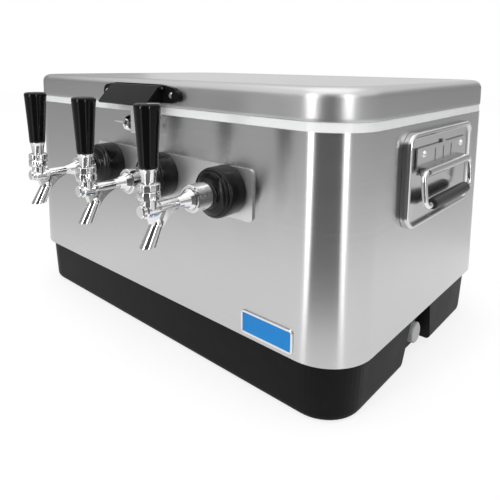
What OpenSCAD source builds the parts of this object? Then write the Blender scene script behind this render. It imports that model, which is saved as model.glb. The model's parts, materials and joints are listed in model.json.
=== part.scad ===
// Three-tap draught beer cooler: an insulated chest in a stainless jacket, with three
// faucets on its front and a cold plate inside.
// Origin: centre of the base where it stands. +X is the right-hand end, -Y the tap side.

/* [Chest] */
// Length of the steel jacket
body_l = 640; // [600:5:700]
// Depth of the steel jacket, front to back
body_d = 427; // [400:1:460]
// Plan radius of the chest's upright corners
corner_r = 60; // [48:1:70]
// Thickness of the stainless sheet
skin_t = 1; // [0.8:0.1:1.5]
// Height of the black base below the jacket
base_h = 71; // [64:1:80]
// Height of the jacket
jacket_h = 248; // [240:1:280]
// Height of the white rim that shows between jacket and lid
rim_h = 10; // [8:0.5:14]
// How far the white rim stands back from the jacket
rim_inset = 1; // [0.5:0.1:2]
// Jacket face to the outside of the liner
wall_t = 38; // [32:1:42]
// Thickness of the liner and of the lid's liner
liner_t = 3; // [2.5:0.1:3.6]
// Underside of the liner's floor above the ground
liner_z = 13.5; // [12:0.1:14]

/* [Base] */
// How far the base stands back under the jacket
base_inset = 7.5; // [5:0.5:10]
// How much more the base tapers in towards the ground
base_taper = 4; // [2:0.5:6]
// Radius along the base's bottom edge
base_edge_r = 8; // [5:0.5:10]
// Wall of the base moulding
base_wall = 3; // [2.5:0.1:3.5]
// Width of the drain notch at its top
notch_top_w = 56; // [46:1:70]
// Width of the drain notch at the ground
notch_foot_w = 96; // [86:1:110]
// End of the jacket to the back of the drain notch
notch_depth = 28; // [24:0.5:30]

/* [Lid] */
// Height of the lid's steel side, edge radius included
lid_h = 35; // [33:1:44]
// Radius along the lid's top edge
lid_edge_r = 12; // [8:0.5:16]
// How deep the lid's plug reaches into the chest
plug_depth = 12; // [8:1:20]
// Gap round the lid's plug
plug_gap = 4; // [3:0.5:6]

/* [Hinges] */
// Centre of the chest to the middle of each hinge
hinge_x = 200; // [150:5:230]
// Width of a hinge
hinge_w = 60; // [50:2:80]
// Height of a hinge leaf, from its pin
leaf_h = 24; // [18:0.5:25]
// Thickness of a hinge leaf
leaf_t = 2; // [1.5:0.1:2.4]
// Radius of a hinge knuckle
knuckle_r = 4; // [3.6:0.1:4.4]
// Radius of a hinge pin
hinge_pin_r = 2; // [1.5:0.1:2.4]

/* [Latch] */
// Middle of the latch, from the middle of the chest
latch_x = -2; // [-20:1:10]
// Width of the sloping flap of the latch
flap_w = 104; // [80:2:110]
// How far the flap stands out from the lid
flap_out = 30; // [26:1:36]
// Height of the latch's back plate
latch_h = 24; // [22:0.5:27]
// Thickness of the latch's back plate
latch_t = 5; // [4:0.5:6]
// Thickness of the flap
flap_t = 3; // [2.4:0.1:3.4]
// Radius of the pin that the flap turns on
latch_pin_r = 1.5; // [1.2:0.1:1.8]
// Middle of the latch to each of its screws
latch_screw_x = 70; // [68:1:76]
// Width of the steel hasp that hangs from the flap
hasp_w = 28; // [20:1:29]
// Thickness of the hasp
hasp_t = 2; // [1.5:0.1:2.5]
// Middle of the chest to the middle of the strike
strike_x = 14; // [8:1:20]
// Width of the strike over its two ears
strike_w = 34; // [33:1:44]
// Height of the strike
strike_h = 27; // [25:1:30]
// Thickness of the strike's steel
strike_t = 2; // [1.5:0.1:2.5]
// Jacket face to the axis of the locking bolt
bolt_out = 11.5; // [11.5:0.1:12.5]
// Radius of the locking bolt
bolt_r = 2.5; // [2:0.1:3]
// Radius of the bolt's knob
bolt_knob_r = 11; // [8:0.5:11]
// Length of the bolt's slim end
bolt_tip_l = 32; // [20:1:40]

/* [End handles] */
// Width of a handle pan
pan_w = 204; // [190:2:220]
// Height of a handle pan
pan_h = 111; // [104:1:118]
// Top of the jacket down to the pan's upper edge
pan_drop = 8; // [4:1:18]
// How far the pan's rim stands out from the jacket
pan_rim = 10; // [8:0.5:14]
// How far the pan's floor stands out from the jacket
pan_floor = 6; // [4:0.5:7]
// Thickness of the pan's sheet
pan_t = 1; // [0.8:0.1:1.5]
// Width of the bracket on the pan
bracket_w = 160; // [154:2:170]
// Upper edge of the pan down to the bracket's upper edge
bracket_drop = 19; // [15:1:25]
// Thickness of the bracket
bracket_t = 2; // [1.6:0.1:2.6]
// Upper edge of the bracket down to the bail's axis
bail_sink = 28; // [24:1:32]
// Jacket face to the bail's axis
bail_out = 15; // [14:0.5:17]
// Length of the rolled barrel that holds the bail
barrel_l = 132; // [120:2:140]
// Radius of the bail's rod
bail_r = 3.5; // [3:0.1:4]
// Axis of the bail to the middle of its grip
bail_drop = 38; // [34:1:44]
// Width of the bail between the middles of its arms
bail_w = 154; // [150:2:160]
// Length of the grip
grip_l = 114; // [100:2:124]
// Radius of the grip
grip_r = 7.2; // [6.4:0.1:8]

/* [Front plate and taps] */
// Middle of the chest to the middle tap
tap_x = 48; // [30:1:60]
// Distance from tap to tap
tap_pitch = 114.3; // [100:0.1:125]
// Top of the jacket down to the shanks' axes
tap_drop = 77; // [72:1:86]
// Length of the front plate
plate_l = 305; // [290:1:320]
// Height of the front plate
plate_h = 60; // [56:1:70]
// How far the front plate's middle lies below the shanks' axes
plate_sink = 2; // [-3:0.5:4]
// Thickness of the front plate
plate_t = 2.5; // [1.5:0.1:3]
// Radius of the black shank flange
flange_r = 29; // [26:0.5:31]
// Length of the black shank flange
flange_l = 35; // [32:0.5:36]
// Radius of a shank
shank_r = 11; // [10:0.1:11.5]
// Bore of a shank
shank_bore_r = 5; // [4:0.1:6]
// Jacket face to the outer end of a shank
shank_out = 46; // [44:0.5:48]
// How far a shank's thread reaches into the chest
shank_in = 25; // [22:0.5:30]
// Radius of a coupling nut
coupling_r = 15.4; // [14.6:0.1:17]
// Length of a coupling nut
coupling_l = 20; // [18:0.5:22]
// Jacket face to the upright axis of a tap
lever_out = 113; // [108:0.5:120]
// Radius of the tap's barrel
tap_barrel_r = 5.8; // [5.6:0.1:6.6]
// Height of the spout's mouth below the shank's axis
spout_drop = 37; // [34:0.5:40]
// Radius of the spout at its mouth
spout_r = 8.1; // [7.6:0.1:8.6]
// Radius of the spout at its top, where it leaves the web
spout_top_r = 6.8; // [6.4:0.1:7.2]
// Bore of the spout
spout_bore_r = 4.6; // [4.3:0.1:4.9]
// Lean of the spout from upright, in degrees
spout_lean = 27.5; // [25:0.5:29]
// How far the mouth's middle stands in front of the tap's upright axis
mouth_out = 1.5; // [0:0.5:3]
// Half the thickness of the web behind the spout
web_half_t = 4; // [3:0.1:4.5]
// Radius of the web's hollow rear edge
web_bend = 40; // [37:1:42]
// Height of the lever's ball above the shank's axis
ball_h = 11; // [10:0.5:13]
// Radius of the lever's ball
ball_r = 5.5; // [5:0.1:5.8]
// Radius of the bonnet ring
bonnet_r = 11.3; // [10.5:0.1:12]
// Radius of the plunger where the barrel guides it
plunger_r = 3.6; // [3.2:0.1:3.8]
// Length of a tap handle's chrome ferrule
ferrule_l = 15; // [12:0.5:18]
// Length of a tap handle's black grip
knob_l = 63; // [50:1:80]
// Radius of the black grip at its foot
knob_foot_r = 9.5; // [9:0.1:11]
// Radius of the black grip at its top
knob_top_r = 13.3; // [11:0.1:15]

/* [Drain] */
// Height of the drain's axis above the ground
drain_z = 30; // [30:0.5:34]
// Radius of the drain's threaded pipe
drain_r = 8.5; // [7.5:0.1:9]
// Bore of the drain
drain_bore_r = 6; // [5:0.1:6.5]
// Radius of the drain cap
cap_r = 14; // [12.5:0.5:16]
// Length of the threaded pipe outside its flange
drain_out = 8; // [7:0.5:10]

/* [Cold plate and lines] */
// Length of the aluminium cold plate
cold_l = 300; // [280:5:310]
// Depth of the cold plate, front to back
cold_d = 170; // [160:5:200]
// Thickness of the cold plate
cold_t = 22; // [18:1:30]
// Middle of the cold plate to each row of fittings
port_y = 60; // [50:1:70]
// Radius of a beer line
line_r = 5.5; // [5:0.1:6.5]
// Bore of a beer line
line_bore_r = 3.2; // [2.8:0.1:3.6]
// Bend radius of a beer line
bend_r = 30; // [24:1:36]
// Radius of the threaded end of a rear inlet
inlet_r = 11; // [10:0.1:11.5]
// Length of the threaded end of a rear inlet
inlet_l = 16; // [12:0.5:20]

/* [Badge] */
// Length of the plain badge
badge_l = 74; // [50:1:76]
// Height of the plain badge
badge_h = 28; // [20:1:32]
// Thickness of the badge
badge_t = 1.6; // [1:0.1:3]
// Middle of the chest to the middle of the badge
badge_x = 221; // [180:1:224]
// Foot of the jacket up to the badge's middle
badge_up = 19; // [17:1:40]

/* [Hidden] */
$fn = 48;

// Clearances
gap = 0.3;         // between pieces that lie side by side
run_gap = 0.06;    // radial, between a shaft and the bore it turns or slides in
screw_gap = 0.2;   // radial, round a screw's shank
swing_gap = 0.15;  // round a tap lever's ball

// Heights of the chest's levels
jacket_top = base_h + jacket_h;
rim_top = jacket_top + rim_h - gap;
lid_z = jacket_top + rim_h;
lid_top = lid_z + lid_h;
floor_z = liner_z + liner_t;
tap_z = jacket_top - tap_drop;
pan_top = jacket_top - pan_drop;
bracket_top = pan_top - bracket_drop;
bail_z = bracket_top - bail_sink;
badge_z = base_h + badge_up;
cavity_inset = wall_t + liner_t;

// Faces that other pieces sit on
front_y = -body_d / 2;
rear_y = body_d / 2;
end_x = body_l / 2;
lip_w = 12;        // turned-in lip at the jacket's foot
corner_steps = 12; // flats round an upright corner

// Pan-head screws: radius of the shank, radius and height of the head, and hold in the foam
small_screw = [1.6, 3.2, 1.5, 5];
hinge_screw_size = [1.8, 3.6, 1.6, 5];
latch_screw_size = [2, 4, 1.8, 6];
handle_screw_size = [2, 4.2, 2.2, 4];

steel = "#b4b6b8";
mirror_steel = "#d0d3d6";
black_plastic = "#1c1c1e";
white_plastic = "#eef0f0";

// ---------- shared shapes ----------

// Outline of a rectangle with round corners, centred on the origin
function rounded(l, d, r) = [
  for (q = [0:3]) for (i = [0:corner_steps])
    let (a = 90 * q + 90 * i / corner_steps,
         sx = (q == 0 || q == 3) ? 1 : -1,
         sy = q < 2 ? 1 : -1)
      [sx * (l / 2 - r) + r * cos(a), sy * (d / 2 - r) + r * sin(a)]
];

// The chest's plan, drawn in from the jacket's face by a distance
function plan_of(inset) = rounded(body_l - 2 * inset, body_d - 2 * inset, max(corner_r - inset, 8));

// An upright slice of the chest's plan
module slab(inset, z0, z1) translate([0, 0, z0]) linear_extrude(z1 - z0) polygon(plan_of(inset));

// A body through rings of the chest's plan, each given as [inset, height], from the foot up
module loft(rings) {
  n = 4 * (corner_steps + 1);
  m = len(rings);
  points = [for (ring = rings) for (p = plan_of(ring[0])) [p[0], p[1], ring[1]]];
  sides = [for (k = [0:m - 2]) for (i = [0:n - 1])
    let (j = (i + 1) % n) [k * n + i, (k + 1) * n + i, (k + 1) * n + j, k * n + j]];
  foot = [for (i = [0:n - 1]) i];
  top = [for (i = [n - 1:-1:0]) (m - 1) * n + i];
  polyhedron(points, concat([foot, top], sides), convexity = 4);
}

// A drawing in the Y-Z plane carried along X
module along_x(x0, x1) translate([x0, 0, 0]) rotate([90, 0, 90]) linear_extrude(x1 - x0) children();

// A drawing in the X-Z plane carried along Y
module along_y(y0, y1) translate([0, y1, 0]) rotate([90, 0, 0]) linear_extrude(y1 - y0) children();

module rod_x(r, x0, x1) translate([x0, 0, 0]) rotate([0, 90, 0]) cylinder(r = r, h = x1 - x0);
module rod_y(r, y0, y1) translate([0, y0, 0]) rotate([-90, 0, 0]) cylinder(r = r, h = y1 - y0);
module rod_z(r, z0, z1) translate([0, 0, z0]) cylinder(r = r, h = z1 - z0);

// A quarter of a round bar about the origin, from +X to +Y
module elbow(bend, r) rotate_extrude(angle = 90) translate([bend, 0]) circle(r);

// Height above the shank axis becomes +Z and distance out from the jacket becomes -Y
module on_tap(x) translate([x, front_y, tap_z]) children();

// A shape turned about the shank's axis, its profile given as [radius, distance out]
module turned(profile) rotate([90, 0, 0]) rotate_extrude() polygon(profile);

// A pan-head screw with its head on a face, its shank through the sheets and on into the foam
module pan_screw(size, sheets, grow) {
  cylinder(r1 = size[1], r2 = 0.7 * size[1], h = size[2]);
  rod_z(size[0] + grow, -sheets - size[3], 0);
}

// ---------- chest ----------

foot_inset = base_inset + base_taper;

// Depth of the base's bottom rounding at a height, as an extra inset
function edge_inset(z) = base_edge_r * (1 - sqrt(1 - pow((base_edge_r - z) / base_edge_r, 2)));

module base_outside() loft([
  [foot_inset + 0.7 * base_edge_r, 0],
  for (z = [1, 2.5, 4.5]) [foot_inset + edge_inset(z), z],
  [foot_inset, base_edge_r],
  [base_inset, base_h]
]);

notch_x = end_x - notch_depth;

// The sloping-sided cut under the drain, opened towards the end of the chest
module notch_shape(grow) polygon([
  [-notch_foot_w / 2 - grow, -1], [notch_foot_w / 2 + grow, -1],
  [notch_top_w / 2 + grow, base_h - base_wall + grow], [-notch_top_w / 2 - grow, base_h - base_wall + grow]
]);

module base_tub() color(black_plastic) difference() {
  base_outside();
  difference() {
    loft([[foot_inset + base_wall + 0.7 * base_edge_r, base_wall],
          [foot_inset + base_wall, base_wall + base_edge_r],
          [base_inset + base_wall, base_h + 1]]);
    along_x(notch_x - base_wall, end_x) notch_shape(base_wall);
  }
  along_x(notch_x, end_x + 1) notch_shape(0);
  translate([0, 0, drain_z]) rod_x(drain_r + gap, notch_x - 2 * base_wall, notch_x + 1);
}

module shank_holes(r, y0, y1) for (x = tap_xs) translate([x, 0, tap_z]) rod_y(r, y0, y1);

tap_xs = [for (i = [-1:1]) tap_x + i * tap_pitch];

module steel_jacket() color(steel) difference() {
  slab(0, base_h, jacket_top);
  slab(skin_t, base_h + skin_t, jacket_top + 1);
  slab(lip_w, base_h - 1, base_h + skin_t + 1);
  shank_holes(shank_r + gap, front_y - 1, front_y + 5);
  shank_holes(inlet_shank_r + gap, rear_y - 5, rear_y + 1);
  hinge_body_screws_at() hinge_screw(screw_gap);
  strike_screws_at() strike_screw(screw_gap);
  handle_screws_at() handle_screw(screw_gap);
}

foam_inset = skin_t + gap;
foam_foot_inset = foot_inset + base_wall + base_edge_r;

module foam_insulation() color("#e8dcb0") difference() {
  union() {
    slab(foam_foot_inset, base_wall + gap, base_h + skin_t + 2);
    slab(foam_inset, base_h + skin_t + gap, jacket_top - gap);
  }
  slab(wall_t - gap, liner_z - gap, jacket_top + 1);
  along_x(notch_x - base_wall - gap, end_x) translate([0, gap])
    square([2 * notch_foot_w, 2 * base_h], center = true);
  translate([0, 0, drain_z]) rod_x(drain_r + gap, end_x - wall_t - 5, end_x);
  shank_holes(shank_r + gap, front_y - 1, front_y + wall_t + 1);
  shank_holes(inlet_shank_r + gap, rear_y - wall_t - 1, rear_y + 1);
  hinge_body_screws_at() hinge_screw(2 * gap);
  strike_screws_at() strike_screw(2 * gap);
  handle_screws_at() handle_screw(2 * gap);
}

module inner_liner() color(white_plastic) difference() {
  union() {
    slab(wall_t, liner_z, jacket_top + 1);
    slab(rim_inset, jacket_top, rim_top);
  }
  slab(cavity_inset, floor_z, rim_top + 1);
  shank_holes(shank_r + gap, front_y + wall_t - 1, front_y + cavity_inset + 1);
  shank_holes(inlet_shank_r + gap, rear_y - cavity_inset - 1, rear_y - wall_t + 1);
  translate([0, 0, drain_z]) rod_x(drain_r + gap, end_x - cavity_inset - 1, end_x - wall_t + 1);
}

// ---------- lid ----------

// Rings of the lid's domed edge, for the outside or, drawn in by a skin, the inside
function lid_rings(skin, z0) = [
  [skin, z0],
  for (a = [0:15:90])
    [lid_edge_r - (lid_edge_r - skin) * cos(a), lid_top - lid_edge_r + (lid_edge_r - skin) * sin(a)]
];

module lid_shell() color(steel) difference() {
  loft(lid_rings(0, lid_z));
  loft(lid_rings(skin_t, lid_z - 1));
  hinge_lid_screws_at() hinge_screw(screw_gap);
  latch_screws_at() latch_screw(screw_gap);
}

plug_inset = cavity_inset + plug_gap;

module lid_foam() color("#e8dcb0") difference() {
  union() {
    slab(foam_inset, lid_z + liner_t + gap, lid_top - lid_edge_r);
    slab(lid_edge_r + gap, lid_top - lid_edge_r - 1, lid_top - skin_t - gap);
    slab(plug_inset + liner_t + gap, lid_z - plug_depth + liner_t + gap, lid_z + liner_t + 1);
  }
  hinge_lid_screws_at() hinge_screw(2 * gap);
  latch_screws_at() latch_screw(2 * gap);
}

module lid_liner() color(white_plastic) difference() {
  union() {
    slab(foam_inset, lid_z, lid_z + liner_t);
    slab(plug_inset, lid_z - plug_depth, lid_z + liner_t);
  }
  slab(plug_inset + liner_t, lid_z - plug_depth + liner_t, lid_z + liner_t + 1);
}

// ---------- hinges ----------

hinge_y = rear_y + knuckle_r + 0.8;
knuckle_l = (hinge_w - 2 * gap) / 3;

module at_hinges() for (s = [-1, 1]) translate([s * hinge_x, 0, 0]) children();

// One knuckle with the web that joins it to its leaf; up is 1 for the lid's leaf
module knuckle(x0, x1, up) {
  translate([0, hinge_y, lid_z]) rod_x(knuckle_r, x0, x1);
  z0 = up > 0 ? lid_z : lid_z - knuckle_r - 1.5;
  translate([x0, rear_y, z0]) cube([x1 - x0, leaf_t, knuckle_r + 1.5]);
}

module hinge_leaf(up) {
  z0 = up > 0 ? lid_z + knuckle_r + 1 : lid_z - leaf_h;
  translate([-hinge_w / 2, rear_y, z0]) cube([hinge_w, leaf_t, leaf_h - knuckle_r - 1]);
}

hinge_screw_z = (leaf_h + knuckle_r + 1) / 2;

module hinge_screw(grow) pan_screw(hinge_screw_size, leaf_t + skin_t, grow);

module hinge_screws_at(up) at_hinges() for (s = [-1, 1])
  translate([s * hinge_w / 3, rear_y + leaf_t, lid_z + up * hinge_screw_z]) rotate([-90, 0, 0]) children();

module hinge_body_screws_at() hinge_screws_at(-1) children();
module hinge_lid_screws_at() hinge_screws_at(1) children();

module hinge_body_leaves() color(steel) difference() {
  at_hinges() difference() {
    union() {
      hinge_leaf(-1);
      knuckle(-hinge_w / 2, -hinge_w / 2 + knuckle_l, -1);
      knuckle(hinge_w / 2 - knuckle_l, hinge_w / 2, -1);
    }
    translate([0, hinge_y, lid_z]) rod_x(hinge_pin_r + run_gap, -hinge_w, hinge_w);
  }
  hinge_body_screws_at() hinge_screw(screw_gap);
}

module hinge_lid_leaves() color(steel) difference() {
  at_hinges() difference() {
    union() {
      hinge_leaf(1);
      knuckle(-knuckle_l / 2, knuckle_l / 2, 1);
    }
    translate([0, hinge_y, lid_z]) rod_x(hinge_pin_r + run_gap, -hinge_w, hinge_w);
  }
  hinge_lid_screws_at() hinge_screw(screw_gap);
}

module hinge_pins() color(mirror_steel) at_hinges() translate([0, hinge_y, lid_z]) {
  rod_x(hinge_pin_r, -hinge_w / 2 - gap, hinge_w / 2 + gap);
  for (s = [-1, 1]) translate([s * (hinge_w / 2 + gap + 0.5), 0, 0]) rod_x(hinge_pin_r + 1, -0.5, 0.5);
}

// ---------- latch and strike ----------

latch_z = lid_z + 5;
lobe_r = 10;
pin_boss_r = latch_pin_r + 1.5;
pin_out = latch_t + gap + pin_boss_r;
pin_z = latch_z + latch_h - pin_boss_r - 1;
lug_w = 4;
flap_foot = latch_z - 3;

module latch_screw(grow) pan_screw(latch_screw_size, latch_t + skin_t, grow);

module latch_screws_at() for (s = [-1, 1])
  translate([latch_x + s * latch_screw_x, front_y - latch_t, latch_z + lobe_r + 1])
    rotate([90, 0, 0]) children();

// Back plate of the latch: two round lobes for the screws and a taller middle
module latch_outline() {
  for (s = [-1, 1]) translate([s * latch_screw_x, lobe_r + 1]) circle(lobe_r);
  polygon([
    [-latch_screw_x, 1], [latch_screw_x, 1],
    [latch_screw_x, 2 * lobe_r + 1], [flap_w / 2 - 4, latch_h],
    [4 - flap_w / 2, latch_h], [-latch_screw_x, 2 * lobe_r + 1]
  ]);
}

module latch_base() color(black_plastic) difference() {
  union() {
    translate([latch_x, front_y, latch_z]) along_y(-latch_t, 0) latch_outline();
    // A second, smaller boss beside the right-hand screw
    translate([latch_x + latch_screw_x + 9, front_y, latch_z + lobe_r]) rod_y(7, -latch_t - 2, 0);
    for (s = [-1, 1]) translate([latch_x + s * (flap_w / 2 + gap + lug_w / 2) - lug_w / 2, front_y, pin_z]) {
      translate([0, -pin_out, -pin_boss_r]) cube([lug_w, pin_out, 2 * pin_boss_r]);
      translate([0, -pin_out, 0]) rod_x(pin_boss_r, 0, lug_w);
    }
  }
  translate([latch_x, front_y - pin_out, pin_z]) rod_x(latch_pin_r + run_gap, -flap_w, flap_w);
  latch_screws_at() latch_screw(screw_gap);
}

module latch_pin() color(mirror_steel)
  translate([latch_x, front_y - pin_out, pin_z]) rod_x(latch_pin_r, -flap_w / 2 - lug_w, flap_w / 2 + lug_w);

// Slope of the flap, from its pin to its foot, as [distance out, height] and the same square to it
flap_run = [flap_out - pin_out, flap_foot - pin_z] / norm([flap_out - pin_out, flap_foot - pin_z]);
flap_side = [-flap_run[1], flap_run[0]];
flap_head = [pin_out, pin_z];
flap_tail = [flap_out, flap_foot];
flap_back = [latch_t + gap + 0.3, latch_z + 1];

// A drawing of [distance out, height] points, seen from the right-hand end, carried along X
module out_profile(x0, x1, points) along_x(x0, x1) polygon([for (p = points) [front_y - p[0], p[1]]]);

module latch_flap() color(black_plastic) difference() {
  union() {
    translate([latch_x, front_y - pin_out, pin_z]) rod_x(pin_boss_r, -flap_w / 2, flap_w / 2);
    out_profile(latch_x - flap_w / 2, latch_x + flap_w / 2, [
      flap_head + pin_boss_r * flap_side, flap_tail + pin_boss_r * flap_side,
      flap_tail + (pin_boss_r - flap_t) * flap_side, flap_head + (pin_boss_r - flap_t) * flap_side
    ]);
    for (s = [-1, 1]) let (x = latch_x + s * (flap_w - flap_t) / 2)
      out_profile(x - flap_t / 2, x + flap_t / 2,
        [flap_head, flap_tail + flap_side, flap_back, [flap_back[0], pin_z]]);
  }
  translate([latch_x, front_y - pin_out, pin_z]) rod_x(latch_pin_r + run_gap, -flap_w, flap_w);
}

strike_z = jacket_top - strike_h;
ear_out = bolt_out + 4;
hasp_out = ear_out + gap;

// Height of the flap's underside at a distance out
function under_flap(out) =
  pin_z + ((out - pin_out) * flap_run[1] + pin_boss_r - flap_t) / flap_run[0] - gap;

// Flat steel hasp: held under the flap, hanging in front of the strike
module latch_hasp() color(mirror_steel) out_profile(strike_x - hasp_w / 2, strike_x + hasp_w / 2, [
  [hasp_out, strike_z + 1], [hasp_out + hasp_t, strike_z + 1],
  [hasp_out + hasp_t, under_flap(hasp_out + hasp_t)], [hasp_out, under_flap(hasp_out)]
]);

module strike_screw(grow) pan_screw(small_screw, strike_t + skin_t, grow);

// Both screws sit between the ears, above and below the bolt
module strike_screws_at() for (s = [-1, 1])
  translate([strike_x, front_y - strike_t, strike_z + strike_h / 2 + s * strike_h / 3])
    rotate([90, 0, 0]) children();

bolt_z = strike_z + strike_h / 2 - 1;

// Bracket with two ears that the locking bolt passes through
module strike_bracket() color(mirror_steel) difference() {
  union() {
    translate([strike_x - strike_w / 2, front_y - strike_t, strike_z]) cube([strike_w, strike_t, strike_h]);
    for (s = [-1, 1]) translate([strike_x + s * (strike_w - strike_t) / 2, front_y, strike_z])
      translate([-strike_t / 2, -ear_out, 0]) cube([strike_t, ear_out, strike_h]);
  }
  translate([strike_x, front_y - bolt_out, bolt_z]) rod_x(bolt_r + run_gap, -strike_w, strike_w);
  strike_screws_at() strike_screw(screw_gap);
}

bolt_head = strike_x - strike_w / 2 - 3; // face of the knob that looks to the strike
bolt_knob_l = 9;

// The locking bolt: shank, faceted knob and a slim pointed end
module strike_bolt() color(mirror_steel) translate([0, front_y - bolt_out, bolt_z]) {
  rod_x(bolt_r, bolt_head - 1, strike_x + strike_w / 2 + 3);
  intersection() {
    translate([bolt_head, 0, 0]) rotate([0, -90, 0]) rotate_extrude() polygon([
      [0, 0], [bolt_knob_r - 3, 0], [bolt_knob_r, 3], [bolt_knob_r, bolt_knob_l - 3],
      [bolt_knob_r - 4, bolt_knob_l], [0, bolt_knob_l]
    ]);
    rod_x(bolt_knob_r, bolt_head - bolt_knob_l, bolt_head, $fn = 8);
  }
  translate([bolt_head - bolt_knob_l + 1, 0, 0]) rotate([0, -90, 0])
    cylinder(r1 = 1.8, r2 = 0.6, h = bolt_tip_l);
}

// ---------- end handles ----------

pan_corner_r = 18;
pan_mid_z = pan_top - pan_h / 2;

// Outline of the pan, drawn in by a distance, in the Y-Z plane
module pan_outline(inset) translate([0, pan_mid_z])
  polygon(rounded(pan_w - 2 * inset, pan_h - 2 * inset, pan_corner_r - inset));

rim_w = 4;

module handle_pan(hand) color(mirror_steel) mirrored(hand) difference() {
  along_x(end_x, end_x + pan_rim) pan_outline(0);
  along_x(end_x + pan_floor, end_x + pan_rim + 1) pan_outline(rim_w);
  along_x(end_x - 1, end_x + pan_floor - pan_t) pan_outline(pan_t);
  handle_screws_on() handle_screw(screw_gap);
}

// The left-hand handle is the right-hand one seen in a mirror
module mirrored(hand) mirror([hand < 0 ? 1 : 0, 0, 0]) children();

handle_screw_y = 61;
handle_screw_z = bracket_top - 8;

module handle_screw(grow) pan_screw(handle_screw_size, bracket_t + pan_floor + skin_t, grow);

module handle_screws_on() for (s = [-1, 1])
  translate([end_x + pan_floor + bracket_t, s * handle_screw_y, handle_screw_z])
    rotate([0, 90, 0]) children();

module handle_screws_at() for (hand = [-1, 1]) mirrored(hand) handle_screws_on() children();

bracket_x = end_x + pan_floor;
bail_x = end_x + bail_out;
barrel_r = bail_r + 1.6;
rib_pitch = barrel_l / 5;

module handle_bracket(hand) color(steel) mirrored(hand) difference() {
  union() {
    translate([bracket_x, -bracket_w / 2, bail_z + 4])
      cube([bracket_t, bracket_w, bracket_top - bail_z - 4]);
    translate([bracket_x, -barrel_l / 2, bail_z - barrel_r])
      cube([bracket_t, barrel_l, barrel_r + 6]);
    translate([bracket_x, -barrel_l / 2, bail_z + barrel_r - 2])
      cube([bail_x - bracket_x, barrel_l, 2]);
    translate([bail_x, 0, bail_z]) rod_y(barrel_r, -barrel_l / 2, barrel_l / 2);
    for (y = [-rib_pitch, 0, rib_pitch])
      translate([bracket_x + bracket_t - 0.5, y - 0.8, bail_z + barrel_r + 2])
        cube([1.1, 1.6, bail_sink - barrel_r - 7]);
    translate([bracket_x, -5, bracket_top - 1]) cube([bracket_t, 10, 4]);
  }
  translate([bail_x, 0, bail_z]) rod_y(bail_r + run_gap, -bracket_w, bracket_w);
  handle_screws_on() handle_screw(screw_gap);
}

bail_bend = 9;
bail_tilt = 6;      // the bail hangs a little away from the pan
bail_stub = 24;     // how far each end of the rod reaches into the barrel

// The bail in its own plane: Y along its axis, the grip hanging towards -Z
module bail_frame(hand) mirrored(hand) translate([bail_x, 0, bail_z]) rotate([0, -bail_tilt, 0]) children();

module bail_half() {
  arm_y = bail_w / 2;
  rod_y(bail_r, arm_y - bail_bend - bail_stub, arm_y - bail_bend);
  translate([0, arm_y - bail_bend, -bail_bend]) rotate([90, 0, 90]) elbow(bail_bend, bail_r);
  translate([0, arm_y, 0]) rod_z(bail_r, bail_bend - bail_drop, -bail_bend);
  translate([0, arm_y - bail_bend, bail_bend - bail_drop]) rotate([0, 90, 0]) elbow(bail_bend, bail_r);
  translate([0, 0, -bail_drop]) rod_y(bail_r, 0, arm_y - bail_bend);
}

module bail(hand) color(mirror_steel) bail_frame(hand) {
  bail_half();
  mirror([0, 1, 0]) bail_half();
}

module bail_grip(hand) color(black_plastic) bail_frame(hand) translate([0, 0, -bail_drop]) difference() {
  rod_y(grip_r, -grip_l / 2, grip_l / 2);
  rod_y(bail_r + run_gap, -grip_l, grip_l);
}

module right_handle_pan() handle_pan(1);
module right_handle_bracket() handle_bracket(1);
module right_bail() bail(1);
module right_bail_grip() bail_grip(1);
module left_handle_pan() handle_pan(-1);
module left_handle_bracket() handle_bracket(-1);
module left_bail() bail(-1);
module left_bail_grip() bail_grip(-1);

// ---------- front plate, shanks and nuts ----------

plate_corner_r = 6;

module front_plate() color(mirror_steel) difference() {
  along_y(front_y - plate_t, front_y) translate([tap_x, tap_z - plate_sink])
    polygon(rounded(plate_l, plate_h, plate_corner_r));
  shank_holes(shank_r + gap, front_y - plate_t - 1, front_y + 1);
}

flange_out = plate_t + flange_l;

// Black shank flange: a drum, a rounded shoulder with two ridges, and a boss behind the nut
module shank_flanges() color(black_plastic) for (x = tap_xs) on_tap(x) turned([
  [shank_r + run_gap, plate_t], [flange_r, plate_t], [flange_r, flange_out - 13],
  [flange_r - 1.2, flange_out - 10.5], [flange_r - 4, flange_out - 8.6],
  [flange_r - 6, flange_out - 8.2], [flange_r - 6.6, flange_out - 6.6], [flange_r - 8.6, flange_out - 6.2],
  [flange_r - 9.2, flange_out - 4.8], [flange_r - 12, flange_out - 4.2],
  [shank_r + 4, flange_out - 3], [shank_r + 3, flange_out], [shank_r + run_gap, flange_out]
]);

shank_tail = cavity_inset + shank_in;
barb_l = 12;
barb_r = line_bore_r - 0.1;

module shanks() color(mirror_steel) for (x = tap_xs) on_tap(x) turned([
  [shank_bore_r, shank_out], [shank_r, shank_out], [shank_r, -shank_tail], [barb_r, -shank_tail],
  [barb_r, -shank_tail - barb_l], [barb_r - 1, -shank_tail - barb_l], [barb_r - 1, -shank_tail + 6],
  [shank_bore_r, -shank_tail + 9]
]);

nut_t = 10;

module hex_ring(hole_r, corner, t) difference() {
  cylinder(r = corner, h = t, $fn = 6);
  translate([0, 0, -1]) cylinder(r = hole_r, h = t + 2);
}

// Nuts inside the chest that clamp the shanks and the rear inlets to its walls
module backing_nuts() color("#c9a24a") for (x = tap_xs) {
  translate([x, front_y + cavity_inset, tap_z]) rotate([-90, 0, 0])
    hex_ring(shank_r + run_gap, shank_r + 8, nut_t);
  translate([x, rear_y - cavity_inset - nut_t, tap_z]) rotate([-90, 0, 0])
    hex_ring(inlet_shank_r + run_gap, inlet_shank_r + 7, nut_t);
}

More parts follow.
